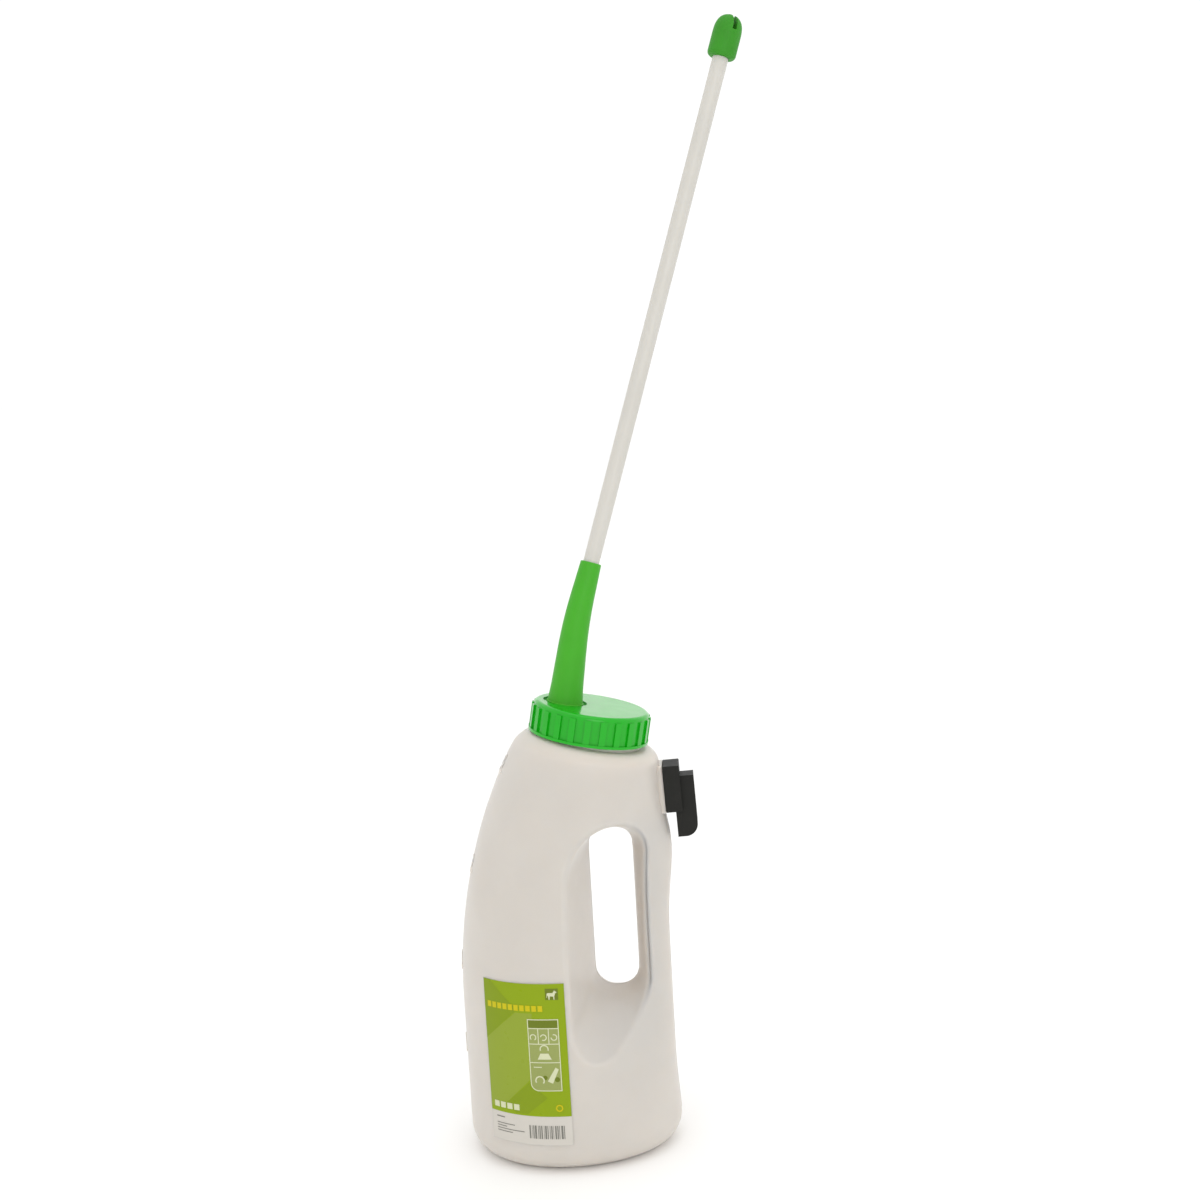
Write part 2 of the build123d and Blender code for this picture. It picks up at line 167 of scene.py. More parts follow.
# Polyamide, injection-moulded, spark-eroded tool: the hook's matt black.
BLACK_PA = {"hex": "#1A1A17", "patch_mm": 12, "drift": 0.10, "grain_mm": 0.8, "depth_mm": 0.05,
            "roughness": 0.55, "ior": 1.53, "specular": 0.2}
# Silicone rubber, moulded: the gasket and O-ring.
SEAL_SILICONE = {"hex": "#B9B6AC", "patch_mm": 15, "drift": 0.03, "grain_mm": 0.9,
                 "depth_mm": 0.02, "roughness": 0.6, "ior": 1.41}


def printed_film(name, colour):
    """Ink under a glossy polypropylene overlaminate: even colour, sharp smooth sheen."""
    return moulded_plastic(name, {"colour": tuple(colour), "patch_mm": 25, "drift": 0.015,
                                  "grain_mm": 3.0, "depth_mm": 0.004, "roughness": 0.30,
                                  "ior": 1.49, "specular": 0.15, "coat": 0.08})


def dress(node, material):
    """Gives a CAD node its material."""
    obj = frame["nodes"][node]
    obj.data.materials.clear()
    obj.data.materials.append(material)
    return obj


def new_piece(name, mesh, material, body):
    """Links a new piece, gives it its material and lets it ride on a body."""
    obj = bpy.data.objects.new(name, mesh)
    bpy.context.scene.collection.objects.link(obj)
    mesh.materials.append(material)
    mesh.polygons.foreach_set("use_smooth", [True] * len(mesh.polygons))
    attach(obj, body)
    return obj


def tree_of(node):
    """Ray-casting tree of a CAD node's mesh."""
    mesh = frame["nodes"][node].data
    return BVHTree.FromPolygons([v.co.copy() for v in mesh.vertices],
                                [tuple(p.vertices) for p in mesh.polygons])


def joint_frame(name, along=0.0):
    """Matrix whose Z is a joint's axis, at the joint's place moved along that axis."""
    joint = JOINTS[name]
    axis = Vector(joint["axis"])
    side = Vector((0, 1, 0)).cross(axis).normalized()
    turned = Matrix((side, axis.cross(side), axis)).transposed().to_4x4()
    return Matrix.Translation(Vector(joint["pos_m"]) + axis * along) @ turned


# ---- Sizes and colours a user would change ---------------------------------------------
class DrencherSizes(bpy.types.PropertyGroup):
    """Sizes of the details added to the model."""

    thread_pitch: bpy.props.FloatProperty(
        name="Thread pitch", description="Rise of the neck thread in one turn",
        default=0.005, unit="LENGTH")
    thread_height: bpy.props.FloatProperty(
        name="Thread height", description="How far the thread stands off its wall",
        default=0.0006, unit="LENGTH")
    numeral_height: bpy.props.FloatProperty(
        name="Numeral height", description="Height of the moulded litre numerals",
        default=0.009, unit="LENGTH")
    numeral_proud: bpy.props.FloatProperty(
        name="Numeral relief", description="How far the numerals stand off the bottle",
        default=0.0005, unit="LENGTH")
    seam_width: bpy.props.FloatProperty(
        name="Parting line", description="Width of the blow mould's parting line",
        default=0.0005, unit="LENGTH")
    print_lift: bpy.props.FloatProperty(
        name="Print layer", description="Height of each printed layer over the one under it",
        default=0.00005, unit="LENGTH")


class DrencherColours(bpy.types.PropertyGroup):
    """Colours of the printed label."""

    label_green: bpy.props.FloatVectorProperty(
        name="Label green", description="Main colour of the label", subtype="COLOR",
        size=3, min=0, max=1, default=linear("#849A0D"))
    label_yellow: bpy.props.FloatVectorProperty(
        name="Label yellow", description="Accent colour of the label", subtype="COLOR",
        size=3, min=0, max=1, default=linear("#BFB312"))


class DrencherStage(bpy.types.PropertyGroup):
    """Camera and studio."""

    azimuth: bpy.props.FloatProperty(
        name="Azimuth", description="Camera's turn round the bottle", subtype="ANGLE",
        default=math.radians(3.0))
    pitch: bpy.props.FloatProperty(
        name="Pitch", description="How far the camera looks down", subtype="ANGLE",
        default=math.radians(7.8))
    roll: bpy.props.FloatProperty(
        name="Roll", description="Camera's roll", subtype="ANGLE", default=math.radians(3.3))
    distance: bpy.props.FloatProperty(
        name="Distance", description="Camera to aim point", default=1.365, unit="LENGTH")
    aim: bpy.props.FloatVectorProperty(
        name="Aim", description="Point the camera looks at", subtype="TRANSLATION", size=3,
        default=(0.0401, 0.0, 0.4155))
    lens: bpy.props.FloatProperty(
        name="Lens", description="Focal length on a 36 mm sensor", default=55.5,
        unit="CAMERA")


# ---- Bottle ----------------------------------------------------------------------------
OUTSIDE = 0.3             # rays towards the bottle start this far from its middle
SEAM_FOOT, SEAM_STEP, SEAM_POINTS = 0.022, 0.002, 141
HOOK_PAD_FOOT = 0.246     # the back seam ends under the pad that carries the hook
OPENING_MIDDLE = Vector((0.0375, 0, 0.1835))
OPENING_POINTS = 120
NUMERAL_ASIDE = 0.008     # numerals stand beside the parting line
NUMERAL_RISE = 0.003      # and this far above their mark
CAPITAL_SHARE = 0.7       # a capital's height as a share of the font's size
STROKE_GAIN, STROKE_ROUND = 0.0003, 0.0002
LITRES = {"1": 0.078, "2": 0.143, "3": 0.217, "4": 0.292}


def front_of_bottle(tree, y, z):
    """Point on the bottle's front skin at a given width and height."""
    return tree.ray_cast(Vector((-OUTSIDE, y, z)), Vector((1, 0, 0)))[0]


def seam_curve(name, points, width, material, closed=False):
    """Thin raised line along a list of points."""
    curve = bpy.data.curves.new(name, "CURVE")
    curve.dimensions = "3D"
    curve.bevel_depth = width / 2
    curve.bevel_resolution = 1
    spline = curve.splines.new("POLY")
    spline.points.add(len(points) - 1)
    for target, point in zip(spline.points, points):
        target.co = (*point, 1)
    spline.use_cyclic_u = closed
    curve.materials.append(material)
    obj = bpy.data.objects.new(name, curve)
    bpy.context.scene.collection.objects.link(obj)
    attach(obj, "bottle_body")
    return obj


class DRENCHER_OT_bottle(bpy.types.Operator):
    """Dress the bottle: milky wall, parting line round it and round the finger opening"""

    bl_idname = "drencher.bottle"
    bl_label = "Bottle"

    def execute(self, context):
        sizes = context.scene.drencher_sizes
        material = moulded_plastic("natural HDPE, blow-moulded", NATURAL_HDPE)
        dress("bottle", material)
        tree = tree_of("bottle")
        front, back = [], []
        for step in range(SEAM_POINTS):
            z = SEAM_FOOT + SEAM_STEP * step
            front.append(front_of_bottle(tree, 0, z))
            if z < HOOK_PAD_FOOT:
                back.append(tree.ray_cast(Vector((OUTSIDE, 0, z)), Vector((-1, 0, 0)))[0])
        opening = []
        for step in range(OPENING_POINTS):
            turn = math.tau * step / OPENING_POINTS
            ray = Vector((math.cos(turn), 0, math.sin(turn)))
            opening.append(tree.ray_cast(OPENING_MIDDLE, ray)[0])
        seam_curve("parting_line_front", front, sizes.seam_width, material)
        seam_curve("parting_line_back", back, sizes.seam_width, material)
        seam_curve("parting_line_opening", opening, sizes.seam_width, material, closed=True)
        return {"FINISHED"}


class DRENCHER_OT_numerals(bpy.types.Operator):
    """Mould the litre numerals above the marks on the front of the bottle"""

    bl_idname = "drencher.numerals"
    bl_label = "Litre numerals"

    def execute(self, context):
        sizes = context.scene.drencher_sizes
        tree = tree_of("bottle")
        material = frame["nodes"]["bottle"].data.materials[0]
        for text, z in LITRES.items():
            font = bpy.data.curves.new("numeral", "FONT")
            font.body = text
            font.align_x = "CENTER"
            font.size = sizes.numeral_height / CAPITAL_SHARE
            font.offset = STROKE_GAIN
            font.extrude = sizes.numeral_proud
            font.bevel_depth = STROKE_ROUND
            writer = bpy.data.objects.new("numeral", font)
            bpy.context.scene.collection.objects.link(writer)
            context.view_layer.update()
            mesh = bpy.data.meshes.new_from_object(writer.evaluated_get(
                context.evaluated_depsgraph_get()))
            bpy.data.objects.remove(writer)
            for vertex in mesh.vertices:
                across, up, out = vertex.co
                skin = front_of_bottle(tree, -across - NUMERAL_ASIDE, z + NUMERAL_RISE + up)
                if skin is None:
                    raise RuntimeError(f"numeral {text} misses the bottle")
                vertex.co = skin - Vector((out, 0, 0))
            new_piece(f"litre_numeral_{text}", mesh, material, "bottle_body")
        return {"FINISHED"}


# ---- Threads ---------------------------------------------------------------------------
NECK_R, CAP_BORE_R = 0.040, 0.041
THREAD_WIDTH = 0.0018
NECK_THREAD_START, NECK_THREAD_TURNS = 0.0035, 2.2
CAP_THREAD_START, CAP_THREAD_TURNS = 0.006, 2.0
STEPS_A_TURN = 72
RUN_OUT = 12              # one part in so many of the length fades out at each end
ROOT_SHARE, CREST_SHARE = 0.2, 0.45


def thread_mesh(name, radius, rise, start, turns, pitch):
    """Trapezoidal helical ridge about Z that fades out at both ends."""
    mesh = bpy.data.meshes.new(name)
    rings, steps, width = [], int(STEPS_A_TURN * turns), THREAD_WIDTH
    for step in range(steps + 1):
        turn = math.tau * turns * step / steps
        fade = min(1.0, RUN_OUT * step / steps, RUN_OUT * (steps - step) / steps)
        z = start + pitch * turn / math.tau
        root, crest = radius - rise * ROOT_SHARE, radius + rise * fade
        profile = [(root, -width), (crest, -width * CREST_SHARE),
                   (crest, width * CREST_SHARE), (root, width)]
        rings.append([(r * math.cos(turn), r * math.sin(turn), z + dz / 2) for r, dz in profile])
    faces = []
    for i in range(steps):
        for j in range(4):
            k = (j + 1) % 4
            faces.append((4 * i + j, 4 * i + k, 4 * i + 4 + k, 4 * i + 4 + j))
    faces.append((3, 2, 1, 0))
    faces.append(tuple(4 * steps + j for j in range(4)))
    mesh.from_pydata([p for ring in rings for p in ring], [], faces)
    return mesh


class DRENCHER_OT_threads(bpy.types.Operator):
    """Raise the matching screw threads on the bottle's neck and inside the cap"""

    bl_idname = "drencher.threads"
    bl_label = "Threads"

    def execute(self, context):
        sizes = context.scene.drencher_sizes
        place = joint_frame("cap_turn")
        bottle_material = frame["nodes"]["bottle"].data.materials[0]
        cap_material = frame["nodes"]["screw_cap"].data.materials[0]
        neck = thread_mesh("neck_thread", NECK_R, sizes.thread_height, NECK_THREAD_START,
                           NECK_THREAD_TURNS, sizes.thread_pitch)
        inside = thread_mesh("cap_thread", CAP_BORE_R, -sizes.thread_height, CAP_THREAD_START,
                             CAP_THREAD_TURNS, sizes.thread_pitch)
        neck.transform(place)
        inside.transform(place)
        new_piece("neck_thread", neck, bottle_material, "bottle_body")
        new_piece("cap_thread", inside, cap_material, "cap_body")
        return {"FINISHED"}


# ---- Cap, spout, tube, tip, hook --------------------------------------------------------
class DRENCHER_OT_cap(bpy.types.Operator):
    """Dress the ribbed screw cap and the gasket under it"""

    bl_idname = "drencher.cap"
    bl_label = "Screw cap and gasket"

    def execute(self, context):
        dress("screw_cap", moulded_plastic("green polypropylene, polished mould", GLOSS_PP))
        dress("cap_gasket", moulded_plastic("silicone rubber, moulded", SEAL_SILICONE))
        return {"FINISHED"}


class DRENCHER_OT_spout(bpy.types.Operator):
    """Dress the bent spout and its O-ring"""

    bl_idname = "drencher.spout"
    bl_label = "Spout and seal"

    def execute(self, context):
        dress("spout", moulded_plastic("green LDPE, satin mould", SATIN_LDPE))
        dress("spout_seal_ring", frame["nodes"]["cap_gasket"].data.materials[0])
        return {"FINISHED"}


class DRENCHER_OT_tube(bpy.types.Operator):
    """Dress the feeding tube"""

    bl_idname = "drencher.tube"
    bl_label = "Feeding tube"

    def execute(self, context):
        dress("feeding_tube", moulded_plastic("off-white polypropylene, extruded", EXTRUDED_PP))
        return {"FINISHED"}


TIP_R, TIP_LENGTH, TIP_SOCKET, TIP_SOCKET_R, TIP_OUTLET_R = 0.0108, 0.0325, 0.019, 0.0061, 0.0026
TIP_FOOT_ROUND, TIP_DOME_START = 0.0035, 0.016
TIP_OUTLET_EDGE = 0.0004
FOOT_LEVELS, DOME_LEVELS = 6, 18
SLOT_WIDTH, SLOT_DEPTH, SLOT_CROSS_DEPTH = 0.0034, 0.012, 0.004
SLOT_FACES = Vector((0.48, -0.87, 0))     # the side of the bulb that the slot runs down
SHARP_ANGLE = math.radians(35)            # cut edges stay sharp, moulded ones smooth


def tip_radius(z):
    """Outer radius of the bulb at a height: a rounded foot, a straight waist and a blunt dome."""
    if z < TIP_FOOT_ROUND:
        drop = 1 - z / TIP_FOOT_ROUND
        return TIP_R - TIP_FOOT_ROUND * (1 - math.sqrt(1 - drop * drop))
    rise = max(0.0, (z - TIP_DOME_START) / (TIP_LENGTH - TIP_DOME_START))
    return TIP_R * (1 - rise ** 3) ** (1 / 2.4)


def turned_solid(name, profile, sides=64):
    """Closed ring-shaped solid turned from a closed profile of radius and height."""
    mesh = bpy.data.meshes.new(name)
    points, faces, count = [], [], len(profile)
    for i in range(sides):
        turn = math.tau * i / sides
        points += [(r * math.cos(turn), r * math.sin(turn), z) for r, z in profile]
    for i in range(sides):
        j = (i + 1) % sides
        for k in range(count):
            m = (k + 1) % count
            faces.append((count * i + k, count * j + k, count * j + m, count * i + m))
    mesh.from_pydata(points, [], faces)
    return mesh


def block_mesh(name, low, high):
    """Box between two corners, used as a cutter."""
    mesh = bpy.data.meshes.new(name)
    box = bmesh.new()
    bmesh.ops.create_cube(box, size=1)
    for vertex in box.verts:
        vertex.co = [low[i] + (vertex.co[i] + 0.5) * (high[i] - low[i]) for i in range(3)]
    box.to_mesh(mesh)
    box.free()
    return mesh


class DRENCHER_OT_tip(bpy.types.Operator):
    """Mould the bulb tip: rounded, bored, with a slot down one side and across its end"""

    bl_idname = "drencher.tip"
    bl_label = "Bulb tip"

    def execute(self, context):
        tube = frame["nodes"]["feeding_tube"].data
        axis = Vector(JOINTS["tip_pull"]["axis"]).normalized()
        centre = sum((v.co for v in tube.vertices), Vector()) / len(tube.vertices)
        foot = min(v.co.dot(axis) for v in frame["nodes"]["tube_tip"].data.vertices)
        side = (SLOT_FACES - axis * SLOT_FACES.dot(axis)).normalized()
        turned = Matrix((side, axis.cross(side), axis)).transposed().to_4x4()
        place = Matrix.Translation(centre + axis * (foot - centre.dot(axis))) @ turned
        lip = TIP_OUTLET_R + TIP_OUTLET_EDGE
        levels = [TIP_FOOT_ROUND * i / FOOT_LEVELS for i in range(FOOT_LEVELS + 1)]
        levels += [TIP_DOME_START * i / 4 for i in (2, 3, 4)]
        levels += [TIP_DOME_START
                   + (TIP_LENGTH - TIP_DOME_START) * (1 - (1 - i / DOME_LEVELS) ** 2)
                   for i in range(1, DOME_LEVELS)]
        outer = [(tip_radius(z), z) for z in levels if tip_radius(z) > lip]
        profile = [(TIP_SOCKET_R, 0.0), *outer, (lip, TIP_LENGTH - 0.0001),
                   (TIP_OUTLET_R, TIP_LENGTH - 0.0005), (TIP_OUTLET_R, TIP_SOCKET),
                   (TIP_SOCKET_R, TIP_SOCKET)]
        bulb = bpy.data.objects.new("bulb", turned_solid("bulb", profile))
        half, over = SLOT_WIDTH / 2, 2 * TIP_R
        top = TIP_LENGTH + 0.002
        cutters = [block_mesh("slot", (0, -half, TIP_LENGTH - SLOT_DEPTH), (over, half, top)),
                   block_mesh("cross", (-over, -half, TIP_LENGTH - SLOT_CROSS_DEPTH),
                              (over, half, top + 0.001))]
        helpers = [bulb] + [bpy.data.objects.new("cutter", mesh) for mesh in cutters]
        for helper in helpers:
            context.scene.collection.objects.link(helper)
        for cutter in helpers[1:]:
            cut = bulb.modifiers.new("cut", "BOOLEAN")
            cut.operation = "DIFFERENCE"
            cut.solver = "EXACT"
            cut.object = cutter
        context.view_layer.update()
        mesh = bpy.data.meshes.new_from_object(bulb.evaluated_get(
            context.evaluated_depsgraph_get()))
        for helper in helpers:
            bpy.data.objects.remove(helper)
        mesh.transform(place)
        material = moulded_plastic("green thermoplastic rubber, moulded", TIP_TPE)
        tip = new_piece("bulb_tip", mesh, material, "tip_body")
        mesh.set_sharp_from_angle(angle=SHARP_ANGLE)
        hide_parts("tube_tip")
        return {"FINISHED"}


class DRENCHER_OT_hook(bpy.types.Operator):
    """Dress the black hanging hook"""

    bl_idname = "drencher.hook"
    bl_label = "Hanging hook"

    def execute(self, context):
        dress("hanging_hook", moulded_plastic("black polyamide, eroded mould", BLACK_PA))
        return {"FINISHED"}


# ---- Label -----------------------------------------------------------------------------
GREEN_SHARE = 0.82        # share of the label's height that is printed green
INKS = {"olive": "#899A31", "deep green": "#7C9014", "dark olive": "#66731F",
        "white": "#C9CCA8", "grey": "#77766F", "pale olive": "#8F9858"}
TITLE_BLOCKS, TITLE_BLOCK, TITLE_GAP = 10, (0.0035, 0.0044), 0.00115
PANEL_STROKE, PANEL_CORNER = 0.0007, 0.006
PANEL_ROWS = (0.328, 0.445, 0.585)        # heights of the panel's inner lines
SMALL_LINES = (0.016, 0.009, 0.024, 0.014)
SMALL_LINES_LEFT, SMALL_LINE_PITCH, SMALL_LINE_THICK = 0.0050, 0.0020, 0.0006
BAR_CODE_WIDTHS = (7, 2, 4, 9, 3, 5, 6, 2, 8, 4, 3, 6, 2, 7, 5, 3, 9, 4)
BAR_CODE_LEFT, BAR_CODE_UNIT = 0.0330, 0.00015
BAR_CODE_TOP, BAR_CODE_FOOT = 0.0070, 0.0172
EDGE_INSET = 0.0001       # print stops just short of the film's edge
STOPS = 80                # places at which the film's length is measured
SLICE = 0.0022            # widest patch of print that stays flat on the curved wall
FIRST_LAYER = 0.00006     # the lowest ink clears the film's own facets


class LabelSkin:
    """The label's outer skin, flattened: s runs along it from the left, h down from the top."""

    def __init__(self):
        self.low, self.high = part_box("bottle_label")
        self.tree = tree_of("bottle_label")
        middle = (self.low.z + self.high.z) / 2
        span = self.high.x - self.low.x - 2 * EDGE_INSET
        xs = [self.low.x + EDGE_INSET + span * i / STOPS for i in range(STOPS + 1)]
        points = [self.tree.ray_cast(Vector((x, -OUTSIDE, middle)), Vector((0, 1, 0)))[0]
                  for x in xs]
        self.stops = [(0.0, xs[0])]
        for before, after in zip(points, points[1:]):
            self.stops.append((self.stops[-1][0] + (after - before).length, after.x))
        self.width = self.stops[-1][0]
        self.height = self.high.z - self.low.z - 2 * EDGE_INSET
        self.top = self.high.z - EDGE_INSET

    def x_at(self, s):
        """X of the point at distance s along the label."""
        s = min(max(s, 0.0), self.width)
        for (s0, x0), (s1, x1) in zip(self.stops, self.stops[1:]):
            if s <= s1:
                return x0 + (x1 - x0) * (s - s0) / (s1 - s0)
        return self.stops[-1][1]

    def point(self, s, h, lift):
        """Point lift above the skin."""
        start = Vector((self.x_at(s), -OUTSIDE, self.top - min(max(h, 0.0), self.height)))
        place, normal, _, _ = self.tree.ray_cast(start, Vector((0, 1, 0)))
        if place is None:
            raise RuntimeError("the print misses the label")
        if normal.y > 0:
            normal = -normal
        return place + normal * lift


def lay_print(skin, name, shapes, material, lift):
    """One printed colour: flat shapes cut into small patches and laid on the label's skin."""
    work = bmesh.new()
    for shape in shapes:
        corners = [work.verts.new((s, h, 0)) for s, h in shape]
        work.faces.new(corners)
    work.normal_update()
    bmesh.ops.triangulate(work, faces=work.faces[:])
    for across, span in ((Vector((1, 0, 0)), skin.width), (Vector((0, 1, 0)), skin.height)):
        cuts = int(span / SLICE)
        for i in range(1, cuts):
            bmesh.ops.bisect_plane(work, geom=work.verts[:] + work.edges[:] + work.faces[:],
                                   plane_co=across * (span * i / cuts), plane_no=across)
    for vertex in work.verts:
        vertex.co = skin.point(vertex.co.x, vertex.co.y, FIRST_LAYER + lift)
    bmesh.ops.recalc_face_normals(work, faces=work.faces[:])
    mesh = bpy.data.meshes.new(name)
    work.to_mesh(mesh)
    work.free()
    return new_piece(name, mesh, material, "bottle_body")


def rectangle(left, top, right, bottom):
    """Corners of an upright rectangle."""
    return [(left, top), (right, top), (right, bottom), (left, bottom)]


def disc(centre, radius, sides=28):
    """Corners of a round dot."""
    turns = [math.tau * i / sides for i in range(sides)]
    return [(centre[0] + radius * math.cos(t), centre[1] + radius * math.sin(t)) for t in turns]


def arc_band(centre, radius, thick, start, end, sides=24):
    """Four-cornered pieces of a curved stroke between two angles in degrees."""
    turns = [math.radians(start + (end - start) * i / sides) for i in range(sides + 1)]
    outer = [(centre[0] + radius * math.cos(t), centre[1] + radius * math.sin(t)) for t in turns]
    inner = [(centre[0] + (radius - thick) * math.cos(t),
              centre[1] + (radius - thick) * math.sin(t)) for t in turns]
    return [[outer[i], outer[i + 1], inner[i + 1], inner[i]] for i in range(sides)]


def frame_strokes(left, top, right, bottom, thick, corner):
    """A rectangle drawn with strokes, with its lower left corner rounded."""
    return [rectangle(left, top, right, top + thick),
            rectangle(right - thick, top + thick, right, bottom),
            rectangle(left, top + thick, left + thick, bottom - corner),
            rectangle(left + corner, bottom - thick, right - thick, bottom),
            *arc_band((left + corner, bottom - corner), corner, thick, 90, 180)]


def grazing_animal(left, top, size):
    """Plain four-legged animal, as one outline in a square of the given size."""
    outline = [(0.06, 0.36), (0.16, 0.30), (0.60, 0.30), (0.72, 0.14), (0.76, 0.04), (0.82, 0.12),
               (0.96, 0.20), (0.98, 0.28), (0.84, 0.34), (0.80, 0.52), (0.76, 0.60),
               (0.76, 0.94), (0.68, 0.94), (0.66, 0.64), (0.34, 0.62), (0.30, 0.94),
               (0.22, 0.94), (0.18, 0.62), (0.10, 0.52), (0.08, 0.74), (0.03, 0.74)]
    return [(left + size * x, top + size * y) for x, y in outline]


class DRENCHER_OT_label(bpy.types.Operator):
    """Print the label: green field with diagonals, pictogram panel, plain bars and a bar code"""

    bl_idname = "drencher.label"
    bl_label = "Printed label"

    def execute(self, context):
        sizes, colours = context.scene.drencher_sizes, context.scene.drencher_colours
        skin = LabelSkin()
        lift = sizes.print_lift
        wide, tall = skin.width, skin.height * GREEN_SHARE
        dress("bottle_label", printed_film("white film, self-adhesive", linear("#C6C1B9")))

        def spot(u, v):
            return (wide * u, tall * v)

        def area(u0, v0, u1, v1):
            return rectangle(*spot(u0, v0), *spot(u1, v1))

        green = printed_film("green ink, offset printed", colours.label_green)
        yellow = printed_film("yellow ink, offset printed", colours.label_yellow)
        olive, deep, dark, white, grey, soft = [
            printed_film(f"{ink} ink, offset printed", linear(hex_colour))
            for ink, hex_colour in INKS.items()]

        lay_print(skin, "print_green_field", [area(0, 0, 1, 1)], green, lift)
        lay_print(skin, "print_olive_field",
                  [[spot(0, 0.45), spot(0.42, 0.22), spot(0.62, 0.22), spot(0.56, 0.72),
                    spot(0.20, 0.94), spot(0, 0.97)]], olive, 2 * lift)
        lay_print(skin, "print_deep_field",
                  [[spot(0, 0), spot(0.10, 0), spot(0.44, 0.20), spot(0, 0.45)],
                   [spot(0.22, 0.93), spot(0.55, 0.74), spot(0.74, 0.86), spot(0.50, 0.985),
                    spot(0.36, 0.985)]], deep, 3 * lift)
        lay_print(skin, "print_icon_square", [area(0.785, 0.035, 0.93, 0.118)], dark, 3 * lift)
        left, top = spot(0.797, 0.043)
        lay_print(skin, "print_icon_animal", [grazing_animal(left, top, wide * 0.12)], white,
                  5 * lift)
        self.title(skin, yellow, 5 * lift, spot)
        self.panel(skin, (soft, dark, white), lift, spot, area)
        lay_print(skin, "print_white_bars", [area(0.06 + 0.09 * i, 0.92, 0.13 + 0.09 * i, 0.965)
                                             for i in range(4)], white, 5 * lift)
        lay_print(skin, "print_yellow_ring", arc_band(spot(0.87, 0.935), 0.0027, 0.0010, 0, 360),
                  yellow, 5 * lift)
        self.small_print(skin, grey, 2 * lift)
        return {"FINISHED"}

    def title(self, skin, material, lift, spot):
        """A row of equal plain blocks in the title's place."""
        left, base = spot(0.05, 0.205)
        width, rise = TITLE_BLOCK
        starts = [left + (width + TITLE_GAP) * i for i in range(TITLE_BLOCKS)]
        bars = [rectangle(start, base - rise, start + width, base) for start in starts]
        lay_print(skin, "print_title_bars", bars, material, lift)

    def panel(self, skin, inks, lift, spot, area):
        """White-framed panel: dark header, three small cells and two large ones."""
        soft, dark, white = inks
        left, top = spot(0.56, 0.262)
        right, bottom = spot(0.915, 0.805)
        thick, corner = PANEL_STROKE, PANEL_CORNER
        round_in = 0.3 * corner
        field = [(left, top), (right, top), (right, bottom), (left + corner, bottom),
                 (left + round_in, bottom - round_in), (left, bottom - corner)]
        lay_print(skin, "print_panel_field", [field], soft, 4 * lift)
        lay_print(skin, "print_panel_header", [area(0.57, 0.270, 0.905, 0.328)], dark, 5 * lift)
        third = (right - left) / 3
        rows = [spot(0, v)[1] for v in PANEL_ROWS]
        strokes = frame_strokes(left, top, right, bottom, thick, corner)
        strokes += [rectangle(left + thick, row, right - thick, row + thick) for row in rows]
        for i in (1, 2):
            x = left + third * i
            strokes.append(rectangle(x - thick / 2, rows[0] + thick, x + thick / 2, rows[1]))
        lay_print(skin, "print_panel_frame", strokes, white, 6 * lift)
        signs = []
        for i in range(3):
            centre = (left + third * (i + 0.5), (rows[0] + rows[1]) / 2 + 0.0012)
            signs += arc_band(centre, 0.0025, 0.0008, -230 + 60 * i, 60 + 60 * i)
        middle = (left + right) / 2
        cell = (rows[1] + rows[2]) / 2
        signs += arc_band((middle, cell - 0.0028), 0.0034, 0.0009, 160, 380)
        signs.append([(middle - 0.0052, cell + 0.0050), (middle - 0.0030, cell + 0.0004),
                      (middle + 0.0030, cell + 0.0004), (middle + 0.0052, cell + 0.0050)])
        low = (rows[2] + bottom) / 2
        signs.append([(middle + 0.0012, low + 0.0035), (middle + 0.0075, low - 0.0070),
                      (middle + 0.0098, low - 0.0055), (middle + 0.0050, low + 0.0052)])
        signs += arc_band((middle - 0.0045, low + 0.0030), 0.0036, 0.0010, 150, 400)
        signs.append(rectangle(left + 0.0030, rows[2] + 0.0035, left + 0.0090, rows[2] + 0.0042))
        lay_print(skin, "print_panel_signs", signs, white, 6 * lift)
        lay_print(skin, "print_panel_shade",
                  [disc((middle - 0.0005, low + 0.0008), 0.0017),
                   disc((right - 0.0032, low + 0.0022), 0.0019)], dark, 5 * lift)

    def small_print(self, skin, material, lift):
        """Lines of small print as plain bars, and a bar code."""
        top = skin.height * GREEN_SHARE
        lines = [rectangle(SMALL_LINES_LEFT, top + 0.0035, 0.0125, top + 0.0043)]
        for i, length in enumerate(SMALL_LINES):
            y = top + 0.0085 + SMALL_LINE_PITCH * i
            lines.append(rectangle(SMALL_LINES_LEFT, y, SMALL_LINES_LEFT + length,
                                   y + SMALL_LINE_THICK))
        lay_print(skin, "print_small_lines", lines, material, lift)
        bars, s = [], BAR_CODE_LEFT
        for i, width in enumerate(BAR_CODE_WIDTHS):
            step = width * BAR_CODE_UNIT
            bars.append(rectangle(s, top + BAR_CODE_TOP, s + step, top + BAR_CODE_FOOT))
            s += step + (0.0006 if i % 3 else 0.0011)
        lay_print(skin, "print_bar_code", bars, material, lift)


# ---- Stage -----------------------------------------------------------------------------
FLOOR_HALF = 40.0         # far enough that no edge shows


def studio_lamp(name, place, aim, size, power):
    """Large soft rectangular lamp pointed at a place."""
    lamp = bpy.data.lights.new(name, "AREA")
    lamp.shape = "RECTANGLE"
    lamp.size, lamp.size_y = size
    lamp.energy = power
    obj = bpy.data.objects.new(name, lamp)
    obj.location = place
    obj.rotation_euler = (Vector(aim) - Vector(place)).to_track_quat("-Z", "Y").to_euler()
    bpy.context.scene.collection.objects.link(obj)
    return obj


